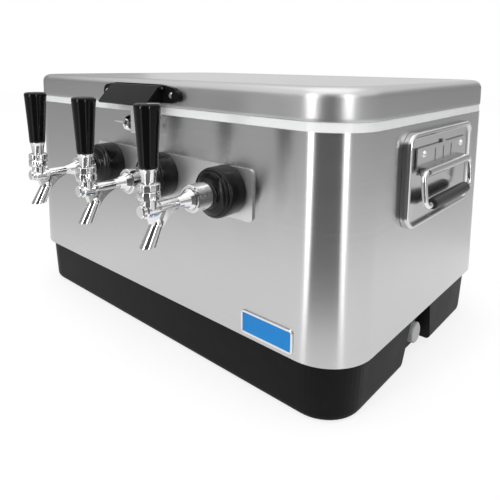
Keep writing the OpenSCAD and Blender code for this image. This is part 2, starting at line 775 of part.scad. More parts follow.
coupling_z0 = shank_out - 6;
coupling_z1 = coupling_z0 + coupling_l;
seat_r = coupling_r - 2.4;
lip_t = 3;
spanner_r = 1.6;

module coupling_nuts() color(mirror_steel) for (x = tap_xs) on_tap(x) difference() {
  turned([
    [shank_r + run_gap, coupling_z0], [coupling_r, coupling_z0], [coupling_r, coupling_z1 - 1],
    [coupling_r - 1, coupling_z1], [seat_r - 1.2, coupling_z1], [seat_r - 1.2, coupling_z1 - lip_t],
    [seat_r, coupling_z1 - lip_t], [seat_r, shank_out], [shank_r + run_gap, shank_out]
  ]);
  for (a = [45:90:315]) rotate([0, a, 0]) translate([0, -(coupling_z0 + coupling_l / 2), 0])
    rod_x(spanner_r, coupling_r - 1.6, coupling_r + 2);
}

// ---------- taps ----------

tail_r = seat_r - gap;
neck_r = seat_r - 1.2 - gap;
tail_z0 = shank_out + gap;
tail_z1 = coupling_z1 - lip_t - gap;
house_r = 8;
house_top = 10.5;             // top of the upright housing above the shank's axis
cap_out = lever_out + 11;
guide_z0 = lever_out - 14;
chamber_r = 7.5;
valve_seat = coupling_z1 - 1;
pull_max = 28;                // how far a lever can be pulled, in degrees
slot_w = 4.8;
tail_ball_r = 1.9;
slot_reach = 8.2;             // room behind the lever's tail for its swing
waterway_r = spout_bore_r - 0.4;
mouth_y = lever_out + mouth_out;
spout_l = spout_drop / cos(spout_lean); // slant length from the mouth up to the shank's axis
spout_tube_l = 0.56 * spout_l;          // slant length of the tube that shows in front of the web
web_start = coupling_z1 - 1;

// Along the leaning spout: +Z runs from the middle of its mouth up to the shank's axis
module on_spout() translate([0, -mouth_y, -spout_drop]) rotate([-spout_lean, 0, 0]) children();

// The tube in front of the web: it widens to its mouth and ends above in a dome
module spout_tube() on_spout() {
  taper = (spout_r - spout_top_r) / spout_tube_l;
  translate([0, 0, -spout_r])
    cylinder(r1 = spout_r + taper * spout_r, r2 = spout_top_r, h = spout_tube_l + spout_r);
  translate([0, 0, spout_tube_l]) rotate([90, 0, 0]) sphere(spout_top_r + 0.2);
}

// Flat web from the barrel's underside down to the mouth, hollow along its rear edge
module spout_web() along_x(-web_half_t, web_half_t) polygon(concat(
  [[-web_start, 0], [-web_start, -tap_barrel_r]],
  [for (a = [90:-6.5:25])
    [-web_start - 7 - web_bend * cos(a), web_bend * sin(a) - web_bend - tap_barrel_r / 2]],
  [[spout_top_r - mouth_y, -spout_drop - 3], [-mouth_y, -spout_drop - 3],
   [-lever_out + 3, -spout_drop / 2], [-lever_out - 1, -tap_barrel_r], [-lever_out, 0]]
));

module tap_body(i) color(mirror_steel) on_tap(tap_xs[i]) difference() {
  union() {
    turned([
      [0, tail_z0], [tail_r, tail_z0], [tail_r, tail_z1], [neck_r, tail_z1], [neck_r, coupling_z1 + 1.5],
      [neck_r - 2.5, coupling_z1 + 5], [tap_barrel_r + 1, coupling_z1 + 12], [tap_barrel_r, coupling_z1 + 18],
      [tap_barrel_r, guide_z0 + 2], [house_r, guide_z0 + 7], [house_r, lever_out + 5],
      [house_r - 1.5, lever_out + 6], [house_r - 1.5, cap_out - 1], [house_r - 2.5, cap_out], [0, cap_out]
    ]);
    translate([0, -lever_out, 0]) rod_z(house_r, 0, house_top);
    spout_tube();
    spout_web();
  }
  turned([
    [0, tail_z0 - 1], [chamber_r, tail_z0 - 1], [chamber_r, valve_seat], [waterway_r, valve_seat],
    [waterway_r, guide_z0], [plunger_r + run_gap, guide_z0], [plunger_r + run_gap, cap_out - 3],
    [0, cap_out - 3]
  ]);
  on_spout() rod_z(spout_bore_r, -spout_r, spout_l);
  translate([0, -lever_out, 0]) {
    rod_z(house_r - 3.1, 0, house_top + 1);
    rod_z(ball_r + swing_gap, house_top - 3, house_top + 1);
    translate([-slot_w / 2, 0, 0]) cube([slot_w, slot_reach, 5.5]);
  }
  translate([-2 * spout_r, -mouth_y - 2 * spout_r, -spout_drop - 4 * spout_r]) cube(4 * spout_r);
}

dome_r = 13.6;
bonnet_h = 13;

// Bonnet ring: seats the lever's ball, its top a dome that the lever's collar slides over
module tap_bonnet(i) color(mirror_steel) on_tap(tap_xs[i]) translate([0, -lever_out, 0]) difference() {
  intersection() {
    rod_z(bonnet_r, house_top, house_top + bonnet_h);
    cylinder(r = bonnet_r + 0.25, h = 2 * house_top + bonnet_h, $fn = 12);
    translate([0, 0, ball_h]) sphere(dome_r);
  }
  translate([0, 0, ball_h]) sphere(ball_r + swing_gap);
  rod_z(ball_r + swing_gap, house_top - 1, ball_h);
  translate([0, 0, ball_h]) cylinder(r1 = 2.9, r2 = 2.9 + 0.6 * bonnet_h, h = bonnet_h);
}

collar_top = ball_h + 16;

// Lever: tail, ball, thin neck, domed collar and the stud for the handle
module tap_lever(i) color(mirror_steel) on_tap(tap_xs[i]) translate([0, -lever_out, 0]) {
  sphere(tail_ball_r);
  rod_z(1.6, 0, ball_h);
  translate([0, 0, ball_h]) sphere(ball_r);
  rod_z(2, ball_h, collar_top - 1);
  difference() {
    rod_z(bonnet_r - 0.3, ball_h + 4, collar_top);
    translate([0, 0, ball_h]) sphere(dome_r + gap);
  }
  rod_z(4, collar_top - 1, collar_top + ferrule_l - 4);
}

module tap_ferrule(i) color(mirror_steel) on_tap(tap_xs[i]) translate([0, -lever_out, collar_top])
  difference() {
    union() {
      cylinder(r1 = 6.8, r2 = knob_foot_r - 0.3, h = ferrule_l);
      rod_z(5, ferrule_l - 1, ferrule_l + 6);
    }
    rod_z(4 + run_gap, -1, ferrule_l - 3.5);
  }

module tap_knob(i) color(black_plastic) on_tap(tap_xs[i]) translate([0, -lever_out, collar_top + ferrule_l])
  rotate_extrude() polygon([
    [5 + run_gap, 0], [knob_foot_r, 0], [knob_top_r, knob_l - 3], [knob_top_r - 0.8, knob_l - 0.8],
    [knob_top_r - 2.5, knob_l], [0, knob_l], [0, 6.5], [5 + run_gap, 6.5]
  ]);

// Plunger: valve disc in the chamber, thin stem, guided front with the slot for the lever's tail;
// the slot's front side leans as the pulled lever does
module tap_plunger(i) color("#d8b868") on_tap(tap_xs[i]) difference() {
  turned([
    [0, valve_seat - 5], [chamber_r - 1.6, valve_seat - 5], [chamber_r - 1.6, valve_seat - gap],
    [2.4, valve_seat - gap], [2.4, guide_z0], [plunger_r, guide_z0 + 2], [plunger_r, cap_out - 4],
    [0, cap_out - 4]
  ]);
  along_x(-2 * plunger_r, 2 * plunger_r) translate([-lever_out, 0]) polygon([
    [-slot_w / 2, -tail_ball_r - 0.4], [slot_w / 2, -tail_ball_r - 0.4], [slot_w / 2, 2 * plunger_r],
    [-slot_w / 2 - 2 * plunger_r * tan(pull_max), 2 * plunger_r], [-slot_w / 2, 0]
  ]);
}

module left_tap_body() tap_body(0);
module left_tap_bonnet() tap_bonnet(0);
module left_tap_plunger() tap_plunger(0);
module left_tap_lever() tap_lever(0);
module left_tap_ferrule() tap_ferrule(0);
module left_tap_knob() tap_knob(0);
module middle_tap_body() tap_body(1);
module middle_tap_bonnet() tap_bonnet(1);
module middle_tap_plunger() tap_plunger(1);
module middle_tap_lever() tap_lever(1);
module middle_tap_ferrule() tap_ferrule(1);
module middle_tap_knob() tap_knob(1);
module right_tap_body() tap_body(2);
module right_tap_bonnet() tap_bonnet(2);
module right_tap_plunger() tap_plunger(2);
module right_tap_lever() tap_lever(2);
module right_tap_ferrule() tap_ferrule(2);
module right_tap_knob() tap_knob(2);

// ---------- rear inlets, cold plate and lines ----------

inlet_shank_r = 9;
inlet_hex_t = 6;
inlet_hex_r = inlet_r + 4;

module rear_plate() color(mirror_steel) difference() {
  along_y(rear_y, rear_y + plate_t) translate([tap_x, tap_z])
    polygon(rounded(plate_l, plate_h, plate_corner_r));
  shank_holes(inlet_shank_r + gap, rear_y - 1, rear_y + plate_t + 1);
}

// Bulkhead inlets: threaded end, hexagon, and a shank that ends in a barb for the line
module rear_inlets() color(mirror_steel) for (x = tap_xs) translate([x, rear_y, tap_z]) rotate([-90, 0, 0])
  difference() {
    union() {
      translate([0, 0, plate_t]) cylinder(r = inlet_hex_r, h = inlet_hex_t, $fn = 6);
      rod_z(inlet_r, plate_t + 1, plate_t + inlet_hex_t + inlet_l);
      rod_z(inlet_shank_r, -shank_tail, plate_t + 1);
      rod_z(barb_r, -shank_tail - barb_l, -shank_tail + 1);
    }
    rod_z(barb_r - 1, -shank_tail - barb_l - 1, plate_t + inlet_hex_t + inlet_l + 1);
  }

cold_z = floor_z + gap;
cold_top = cold_z + cold_t;
port_r = 6;
port_l = 8;

module at_ports() for (x = tap_xs) for (s = [-1, 1]) translate([x, s * port_y, cold_top]) children();

module cold_plate() color("#c4c8cc") difference() {
  translate([0, 0, cold_z]) linear_extrude(cold_t) translate([tap_x, 0]) polygon(rounded(cold_l, cold_d, 8));
  at_ports() rod_z(port_r + run_gap, -port_l, 1);
}

// Fittings: a spigot in the plate, a hexagon and a barb for the line
module plate_fittings() color("#c9a24a") at_ports() difference() {
  union() {
    rod_z(port_r, gap - port_l, 1);
    cylinder(r = port_r + 3, h = 7, $fn = 6);
    rod_z(barb_r, 6, 7 + barb_l);
  }
  rod_z(barb_r - 1, -port_l, 8 + barb_l);
}

line_foot = cold_top + 7;
line_end = body_d / 2 - shank_tail;

// One line, from a fitting on the plate up to a shank at the front or an inlet at the rear
module beer_line(r) {
  rod_z(r, line_foot, tap_z - bend_r);
  translate([0, -bend_r, tap_z - bend_r]) rotate([90, 0, 90]) elbow(bend_r, r);
  translate([0, 0, tap_z]) rod_y(r, port_y - line_end, -bend_r);
}

module beer_lines() color("#dfe6e8") for (x = tap_xs) for (s = [0, 1])
  mirror([0, s, 0]) translate([x, -port_y, 0]) difference() {
    beer_line(line_r);
    beer_line(line_bore_r);
    rod_z(line_bore_r, line_foot - 1, line_foot + 1);
    translate([0, 0, tap_z]) rod_y(line_bore_r, port_y - line_end - 1, port_y - line_end + 1);
  }

// ---------- drain ----------

drain_flange_r = 12.5;
drain_flange_t = 3;
pipe_end = notch_x + drain_flange_t + drain_out;
seal_t = 1.5;
pipe_tail = end_x - cavity_inset - 9;

module drain_pipe() color("#d8dadb") translate([0, 0, drain_z]) difference() {
  union() {
    rod_x(drain_flange_r, notch_x, notch_x + drain_flange_t);
    rod_x(drain_r, pipe_tail, pipe_end);
  }
  rod_x(drain_bore_r, pipe_tail - 1, pipe_end + 1);
}

drain_nut_t = 6;

module drain_nut() color(white_plastic) translate([end_x - cavity_inset - drain_nut_t, 0, drain_z])
  rotate([0, 90, 0]) hex_ring(drain_r + run_gap, drain_r + 4.2, drain_nut_t);

module drain_seal() color("#2a2a2a") translate([pipe_end + 0.05, 0, drain_z]) difference() {
  rod_x(drain_r - 0.4, 0, seal_t);
  rod_x(drain_bore_r - 2, -1, seal_t + 1);
}

cap_skirt = notch_x + drain_flange_t + 0.6;
cap_inside = pipe_end + seal_t + 0.1;
cap_end_t = 2.2;

module drain_cap() color("#b9bcbe") translate([0, 0, drain_z]) difference() {
  union() {
    rod_x(cap_r, cap_skirt, cap_inside + cap_end_t - 1);
    rod_x(cap_r - 1.2, cap_skirt, cap_inside + cap_end_t);
  }
  rod_x(drain_r + run_gap, cap_skirt - 1, cap_inside);
}

// ---------- screws and badge ----------

// Screws that hold the hinges, the strike and the end handles to the chest
module body_screws() color(mirror_steel) {
  hinge_body_screws_at() hinge_screw(0);
  strike_screws_at() strike_screw(0);
  handle_screws_at() handle_screw(0);
}

// Screws that hold the hinges and the latch to the lid
module lid_screws() color(mirror_steel) {
  hinge_lid_screws_at() hinge_screw(0);
  latch_screws_at() latch_screw(0);
}

badge_r = 3;

// Plain blue badge low on the front, with nothing on it
module badge() color("#0d8ad6") along_y(front_y - badge_t, front_y)
  translate([badge_x, badge_z]) polygon(rounded(badge_l, badge_h, badge_r));

base_tub();
steel_jacket();
foam_insulation();
inner_liner();
badge();
body_screws();
lid_shell();
lid_foam();
lid_liner();
lid_screws();
hinge_body_leaves();
hinge_lid_leaves();
hinge_pins();
latch_base();
latch_flap();
latch_pin();
latch_hasp();
strike_bracket();
strike_bolt();
right_handle_pan();
right_handle_bracket();
right_bail();
right_bail_grip();
left_handle_pan();
left_handle_bracket();
left_bail();
left_bail_grip();
front_plate();
shank_flanges();
shanks();
coupling_nuts();
backing_nuts();
left_tap_body();
left_tap_bonnet();
left_tap_plunger();
left_tap_lever();
left_tap_ferrule();
left_tap_knob();
middle_tap_body();
middle_tap_bonnet();
middle_tap_plunger();
middle_tap_lever();
middle_tap_ferrule();
middle_tap_knob();
right_tap_body();
right_tap_bonnet();
right_tap_plunger();
right_tap_lever();
right_tap_ferrule();
right_tap_knob();
rear_plate();
rear_inlets();
cold_plate();
plate_fittings();
beer_lines();
drain_pipe();
drain_nut();
drain_seal();
drain_cap();
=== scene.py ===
# %% [markdown]
# # A three-tap draught beer cooler
#
# The cooler is an insulated chest in a stainless jacket. Three taps stand on its front, a wire bail
# hangs at each end, and a cold plate lies inside. The frame already holds every piece at its real
# size. This lesson adds two things: finer meshes for the pieces that catch the most light, and a
# surface for every piece. The taps are on -Y and the drain is at the +X end.

# %% Load the frame
import json
import math

import bmesh
import bpy
import numpy as np
from mathutils import Matrix, Vector


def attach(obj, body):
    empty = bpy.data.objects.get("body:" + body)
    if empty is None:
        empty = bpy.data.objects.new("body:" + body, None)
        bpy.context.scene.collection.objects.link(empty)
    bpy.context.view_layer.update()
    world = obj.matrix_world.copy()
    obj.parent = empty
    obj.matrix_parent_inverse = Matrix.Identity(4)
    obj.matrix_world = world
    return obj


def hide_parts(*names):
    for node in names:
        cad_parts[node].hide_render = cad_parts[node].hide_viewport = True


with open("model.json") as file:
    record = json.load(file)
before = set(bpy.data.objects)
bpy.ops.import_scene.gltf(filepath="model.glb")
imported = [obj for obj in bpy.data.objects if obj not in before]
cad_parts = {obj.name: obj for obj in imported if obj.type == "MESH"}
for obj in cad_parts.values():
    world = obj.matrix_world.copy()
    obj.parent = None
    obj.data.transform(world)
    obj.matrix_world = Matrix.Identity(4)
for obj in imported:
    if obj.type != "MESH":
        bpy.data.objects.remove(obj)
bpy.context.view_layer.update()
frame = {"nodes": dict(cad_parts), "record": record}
nodes = frame["nodes"]
print("pieces in the frame:", len(nodes))

# %% [markdown]
# ## Camera
#
# The photograph looks at the chest's near corner from a little above its lid, and its upright edges
# stay upright. A camera tilted down would make them lean together. A level camera with its lens
# shifted, as on a view camera, keeps them upright, and `shift_y` does that here. Part of the tilt
# is left in, so that the chest stays in the picture when the camera is taken round it.

# %% Place the camera
camera_at = (0.54567, -0.61518, 0.38490)
camera_turn, camera_tilt, camera_roll = 41.20, 7.62, 0.58
focal_pixels, frame_pixels, lens_centre_row = 493.63, 500, 130


def aim(turn, tilt, roll):
    """Turn: from +Y towards -X. Tilt: down from level. Roll: clockwise about the line of sight."""
    a, b = math.radians(turn), math.radians(tilt)
    look = Vector((-math.sin(a) * math.cos(b), math.cos(a) * math.cos(b), -math.sin(b)))
    right = look.cross(Vector((0, 0, 1))).normalized()
    up = right.cross(look)
    c, s = math.cos(math.radians(roll)), math.sin(math.radians(roll))
    return Matrix((c * right + s * up, c * up - s * right, -look)).transposed()


camera_data = bpy.data.cameras.new("camera")
camera_data.sensor_width = 36
camera_data.lens = camera_data.sensor_width * focal_pixels / frame_pixels
camera_data.shift_y = (lens_centre_row - frame_pixels / 2) / frame_pixels
camera = bpy.data.objects.new("camera", camera_data)
camera_axes = aim(camera_turn, camera_tilt, camera_roll).to_4x4()
camera.matrix_world = Matrix.Translation(camera_at) @ camera_axes
bpy.context.scene.collection.objects.link(camera)
bpy.context.scene.camera = camera
bpy.context.scene.view_settings.view_transform = "Standard"
print("lens", round(camera_data.lens, 1), "mm, shift", round(camera_data.shift_y, 3))

# %% [markdown]
# ## Surfaces from grids
#
# Most of the finer pieces are turned on a lathe or pressed from sheet. They could be modelled by
# hand, with loop cuts and bevels. But each is a profile carried round a closed path, so a grid of
# points says all of it: one row for each profile point, one column for each step round. Worked out
# as whole arrays, the same few functions serve every piece.

# %% Faces between grid points
def quads(rows, columns, closed_rows, closed_columns=True):
    """Corner numbers of the quads between neighbours. A closed direction joins its last to its first."""
    r, c = np.meshgrid(np.arange(rows if closed_rows else rows - 1),
                       np.arange(columns if closed_columns else columns - 1), indexing="ij")
    right, up = (c + 1) % columns, (r + 1) % rows
    corners = r * columns + c, r * columns + right, up * columns + right, up * columns + c
    return np.stack(corners, -1).reshape(-1, 4)


print("quads on a closed grid of 4 by 5:", len(quads(4, 5, True)))

# %% [markdown]
# `mesh_piece` turns such grids, drawn in millimetres, into one object in metres. It closes the ends
# of an open grid, welds seams and poles, and turns the faces outwards. A crease angle tells which
# edges stay sharp. Then it hangs the piece on its body's empty and hides the frame nodes it replaces.

# %% From grids to an object
MM = 0.001
WELD, SLIVER = 2e-6, 1e-6
USUAL_CREASE = 40
pieces = []


def mesh_piece(name, grids, replaces, body, slot, crease=USUAL_CREASE):
    """One object from several (points, closed_rows) grids. An open grid's end rows get flat caps."""
    points, faces, start = [], [], 0
    for grid, closed_rows in grids:
        rows, columns = grid.shape[:2]
        points.append(grid.reshape(-1, 3) * MM)
        faces += (quads(rows, columns, closed_rows) + start).tolist()
        if not closed_rows:
            last_row = start + (rows - 1) * columns
            faces += [list(range(start, start + columns)), list(range(last_row, last_row + columns))]
        start += rows * columns
    mesh = bpy.data.meshes.new(name)
    mesh.from_pydata(np.vstack(points).tolist(), [], faces)
    work = bmesh.new()
    work.from_mesh(mesh)
    bmesh.ops.remove_doubles(work, verts=work.verts, dist=WELD)
    bmesh.ops.dissolve_degenerate(work, edges=work.edges, dist=SLIVER)
    bmesh.ops.recalc_face_normals(work, faces=work.faces)
    work.to_mesh(mesh)
    work.free()
    mesh.shade_smooth()
    mesh.set_sharp_from_angle(angle=math.radians(crease))
    piece = bpy.data.objects.new(name, mesh)
    bpy.context.scene.collection.objects.link(piece)
    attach(piece, body)
    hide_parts(*replaces)
    pieces.append((piece, slot))
    print(name, len(mesh.polygons), "faces")
    return piece


# %% [markdown]
# ## Soft corners
#
# A drawn profile has sharp corners and a made one hasn't. A Bevel modifier could round them, but it
# struggles where edges lie close. Rounding the profile first costs nothing. `soften` swaps each
# corner B for the short curve (1-t)^2 A + 2t(1-t) B + t^2 C, where A and C lie the given radius
# away along its two sides.

# %% Round the corners of a profile
MOST_OF_SIDE = 0.48


def soften(corners, radius, closed=True, steps=5):
    """A profile with its corners rounded. An open one keeps its two end points."""
    b = np.array(corners, float)
    ways = np.roll(b, 1, 0) - b, np.roll(b, -1, 0) - b
    lengths = [np.linalg.norm(way, axis=1)[:, None] for way in ways]
    size = np.broadcast_to(radius, len(b))[:, None]
    a, c = (b + way / length * np.minimum(size, MOST_OF_SIDE * length)
            for way, length in zip(ways, lengths))
    t = np.linspace(0, 1, steps)[None, :, None]
    curve = (1 - t) ** 2 * a[:, None] + 2 * t * (1 - t) * b[:, None] + t ** 2 * c[:, None]
    if not closed:
        curve[0], curve[-1] = b[0], b[-1]
    return curve.reshape(-1, 2)


print("points in a softened square:", len(soften([[0, 0], [1, 0], [1, 1], [0, 1]], 0.2)))

# %% [markdown]
# ## Lathe and press
#
# `turned` is the lathe: it swings a profile round an axis. Its wave gives a turned ring the scallops
# that a hand grips. `pressed` is the press: it carries a profile round a rounded rectangle, which is
# the plan of the chest, of its lid and of its handle pans. The profile then gives how far each point
# is set in from the plan's outline, and its height.

# %% Turn a profile
def turned(profile, steps=72, wave=0.0, count=12, phase=0.0):
    """Each [radius, along] goes to (r cos a, r sin a, along), where r swells by wave * cos(count a)."""
    p = np.asarray(profile, float)
    a = np.linspace(0, 2 * np.pi, steps, endpoint=False)[None, :]
    r = p[:, :1] * (1 + wave * np.cos(count * a + phase))
    return np.stack([r * np.cos(a), r * np.sin(a), np.broadcast_to(p[:, 1:], r.shape)], -1)


print("grid of a turned rod:", turned([[1, 0], [1, 2]]).shape)

# %% Press a profile round the chest
body_l, body_d, corner_r = 640.0, 427.0, 60.0
front_y, end_x = -body_d / 2, body_l / 2
jacket_foot, jacket_top, lid_z, lid_top = 71.0, 319.0, 329.0, 364.0
TIGHTEST_CORNER = 0.25


def chest_plan(insets, corner_steps=20, side_steps=6, length=body_l, depth=body_d, radius=corner_r):
    """Rounded rectangles, one a row: corner centre + (radius - inset) * (cos a, sin a)."""
    inset = np.asarray(insets, float)[:, None]
    r = np.maximum(radius - inset, TIGHTEST_CORNER * (depth / 2 - inset))
    quarter = np.linspace(0, np.pi / 2, corner_steps)
    a = np.concatenate([q * np.pi / 2 + quarter for q in range(4)])[None, :]
    sign_x = np.repeat([1, -1, -1, 1], corner_steps)[None, :]
    sign_y = np.repeat([1, 1, -1, -1], corner_steps)[None, :]
    x = sign_x * (length / 2 - inset - r) + r * np.cos(a)
    y = sign_y * (depth / 2 - inset - r) + r * np.sin(a)
    ring = np.stack([x, y], -1)
    share = np.linspace(0, 1, side_steps, endpoint=False)[None, None, :, None]
    split = ring[:, :, None] + share * (np.roll(ring, -1, 1) - ring)[:, :, None]
    keep = np.zeros((ring.shape[1], side_steps), bool)
    keep[:, 0] = True
    keep[corner_steps - 1::corner_steps] = True
    return split[:, keep]


def pressed(profile, **plan):
    """Each [inset, height] goes round the plan."""
    p = np.asarray(profile, float)
    ring = chest_plan(p[:, 0], **plan)
    height = np.broadcast_to(p[:, 1][:, None, None], ring.shape[:2] + (1,))
    return np.concatenate([ring, height], -1)


print("points round the chest:", chest_plan([0.0]).shape[1])

# %% [markdown]
# ## Jacket
#
# The jacket is one band of thin sheet round the chest, folded in at its foot. It could be a plane
# with a Solidify modifier. Pressed from a closed profile it has its wall, its folded foot and its
# softened edges at once. Cutting the corners finer than the frame does lets reflections slide
# round them without breaks.

# %% Jacket
skin, streak_glow, sheet_edge_r = 1.0, 12.0, 0.45
mesh_piece("jacket_sheet", [(pressed(soften([
    [0, jacket_foot], [0, jacket_top], [skin, jacket_top], [skin, jacket_foot + skin],
    [streak_glow, jacket_foot + skin], [streak_glow, jacket_foot]], sheet_edge_r)), True)],
    ["steel_jacket"], "cabinet", "brushed_stainless")

# %% [markdown]
# ## Lid
#
# The lid is a pressing: a rounded edge, a flat border, then a shallow step down to a panel that
# rises a little towards its middle. A bevelled box would be flat, and a flat top mirrors the room
# like glass. The crown spreads that reflection, as on a real lid.

# %% Lid
lid_edge_r, panel_skin = 12.0, 0.35
turn = np.radians(np.linspace(0, 90, 12))


def lid_edge(thick):
    """A quarter round: the edge radius, less the skin's thickness on the inside."""
    r = lid_edge_r - thick
    return np.stack([lid_edge_r - r * np.cos(turn), lid_top - lid_edge_r + r * np.sin(turn)], 1)


top = np.array([[17, 0], [20, -0.15], [24, -0.55], [27, -0.8], [31, -0.9],
                [60, -0.8], [110, -0.6], [160, -0.45], [208, -0.4]]) + [0, lid_top]
outside = np.vstack([[[0.6, lid_z], [0, lid_z + 0.8], [0, lid_z + 4]], lid_edge(0), top])
inside = np.vstack([[[skin + 0.2, lid_z], [skin, lid_z + 2]], lid_edge(skin), top - [0, panel_skin]])
lid_sheet = mesh_piece("lid_sheet", [(pressed(np.vstack([outside[::-1], inside])), False)],
                       ["lid_shell"], "lid", "brushed_stainless")

# %% [markdown]
# ## Handle pans
#
# Each end of the chest has a stamped pan: a rolled rim, and a floor set back inside it that carries
# the handle's bracket. Cutting a recess out of a plate would leave the rim square. A pan's plan is
# a rounded rectangle too, so the press serves again, and the result is stood up against the end.

# %% Handle pans
HANDS = ((1, "right"), (-1, "left"))
pan_w, pan_h, pan_corner, pan_top, pan_middle = 204.0, 111.0, 18.0, jacket_top - 8, 44.0
pan_z = pan_top - pan_h / 2
pan_profile = [[pan_middle, 5.0], [8, 5.6], [6.4, 6.4], [5.2, 8.6], [3.6, 10.0], [1.8, 9.6], [0.5, 7.8],
               [0, 5.0], [0, 0.2], [0.8, 0.2], [0.8, 5.0], [1.4, 7.2], [2.4, 8.6], [3.6, 9.0],
               [4.4, 7.8], [5.6, 5.4], [8, 4.6], [pan_middle, 4.0]]


def on_end(grid, hand):
    """A drawing of (across, up, out) against an end of the chest; hand is 1 at +X and -1 at -X."""
    return np.stack([hand * (end_x + grid[..., 2]), grid[..., 0], pan_z + grid[..., 1]], -1)


for hand, side in HANDS:
    stamped = pressed(soften(pan_profile, 0.5, closed=False, steps=3), length=pan_w, depth=pan_h,
                      radius=pan_corner, corner_steps=14, side_steps=2)
    mesh_piece(side + "_pan_sheet", [(on_end(stamped, hand), False)],
               [side + "_handle_pan"], "cabinet", "mirror_pan")

# %% [markdown]
# ## Grips
#
# A ribbed rubber sleeve covers the middle of each bail. A plain tube with a bump texture would keep
# a smooth outline. Here the ribs are in the profile: the radius falls by 0.28 mm thirty times along
# the sleeve, and a high power of the distance from the middle rounds off both ends.

# %% Grips
bail_x, bail_z, bail_drop, bail_tilt = end_x + 15, pan_top - 47, 38.0, math.radians(6)
grip_l, grip_r, grip_bore = 114.0, 7.2, 3.6
ribs, rib_depth, end_round = 30, 0.28, 0.9
along = np.linspace(0, 1, 181)
swell = (grip_r - rib_depth * (0.5 + 0.5 * np.cos(2 * np.pi * along * ribs))
         - end_round * (2 * along - 1) ** 14)
grip_profile = np.vstack([np.stack([swell, (along - 0.5) * grip_l], 1),
                          [[grip_bore, grip_l / 2], [grip_bore, -grip_l / 2]]])
for hand, side in HANDS:
    sleeve = turned(grip_profile, 48)
    place = np.stack([hand * (bail_x + bail_drop * math.sin(bail_tilt) + sleeve[..., 0]), sleeve[..., 2],
                      bail_z - bail_drop * math.cos(bail_tilt) + sleeve[..., 1]], -1)
    mesh_piece(side + "_grip_sleeve", [(place, True)],
               [side + "_bail_grip"], side + "_bail", "black_grip", crease=70)

# %% [markdown]
# ## Flanges
#
# A moulded black flange carries each shank. From the plate outwards it has a drum, a rounded
# shoulder, a shallow dome and a boss, parted by two fine grooves. Cylinders and a torus could stand
# for these, with seams where they meet. One turned profile has no seams and shades smoothly.

# %% Shank flanges
SIDES = ("left", "middle", "right")
tap_pitch, taps_middle_x, tap_drop = 114.3, 48.0, 77.0
tap_xs = [taps_middle_x + step * tap_pitch for step in (-1, 0, 1)]
tap_z = jacket_top - tap_drop
plate_t, flange_r, flange_out, flange_bore, boss_r = 2.5, 29.0, 37.5, 11.1, 14.0


def out_from_front(grid, x, z):
    """Along becomes -Y, out from the jacket's front face."""
    return np.stack([x + grid[..., 0], front_y - grid[..., 2], z + grid[..., 1]], -1)


flange_profile = soften([
    [flange_bore, plate_t], [flange_r, plate_t], [flange_r, flange_out - 11],
    [flange_r - 3.2, flange_out - 8.8], [flange_r - 4.0, flange_out - 9.2],
    [flange_r - 4.4, flange_out - 7.6], [flange_r - 7, flange_out - 6.0],
    [flange_r - 11, flange_out - 4.6], [flange_r - 11.6, flange_out - 4.9],
    [flange_r - 12.0, flange_out - 4.2], [boss_r + 1, flange_out - 3], [boss_r, flange_out],
    [flange_bore, flange_out]],
    [0.1, 0.6, 4, 0.8, 0.5, 0.8, 3, 0.5, 0.3, 0.5, 1.2, 1.0, 0.1])
mesh_piece("flange_mouldings",
           [(out_from_front(turned(flange_profile, 96), x, tap_z), True) for x in tap_xs],
           ["shank_flanges"], "cabinet", "black_flange", crease=60)

# %% [markdown]
# ## Tap handles
#
# A slim gloss cone with a rounded top stands on a chrome ferrule. A stock cone with a bevel has
# straight sides, and the real one swells a little towards its top. So the side's radius follows
# the height to the power 1.15. Both profiles are turned, with a recess where the stud goes in.

# %% Handles and ferrules
lever_out, ball_h = 113.0, 11.0
collar_top = ball_h + 16
ferrule_l, knob_l, knob_foot_r, knob_top_r, knob_swell = 15.0, 63.0, 9.5, 13.3, 1.15

rise = np.linspace(0, 1, 24)
knob_side = np.stack([knob_foot_r + (knob_top_r - knob_foot_r) * rise ** knob_swell,
                      0.6 + (knob_l - 3.2) * rise], 1)
knob_profile = np.vstack([[[0, 6.5], [5.1, 6.5], [5.1, 0.1], [knob_foot_r - 0.5, 0.1]], knob_side,
                          [[knob_top_r - 0.35, knob_l - 1.5], [knob_top_r - 1.3, knob_l - 0.5],
                           [knob_top_r - 2.8, knob_l], [0, knob_l]]])
ferrule_profile = np.vstack([[[0, 11.5], [4.1, 11.5], [4.1, 0.1], [6.2, 0.1]], soften(
    [[6.2, 0.1], [6.9, 0.6], [7.2, 5.5], [8.0, 11], [9.2, 14.2], [9.2, 14.9], [5, 14.9]], 0.8,
    closed=False), [[5, 15], [5, 20.8], [0, 20.8]]])
print("profile points: handle", len(knob_profile), "and ferrule", len(ferrule_profile))

# %% [markdown]
# ## Collars and bonnets
#
# Below the ferrule two scalloped rings face each other: the bonnet, fixed to the tap, and the
# lever's collar, which slides over the bonnet's dome as the lever is pulled. Both faces are parts
# of spheres about the ball's middle, at the height ball_h + sqrt(R^2 - r^2), so the gap between
# them stays the same at every angle. A sculpted dome could not promise that, and a formula does.

# %% Collars and bonnets
bonnet_r, dome_r, dome_gap, ball_r, house_top = 11.3, 13.6, 0.35, 5.5, 10.5
tail_r, stem_r, neck_r, stud_r = 1.9, 1.55, 2.0, 4


def dome_at(radius, sphere):
    """Height on a sphere about the ball's middle: sqrt(R^2 - r^2)."""
    return ball_h + np.sqrt(sphere ** 2 - np.asarray(radius) ** 2)


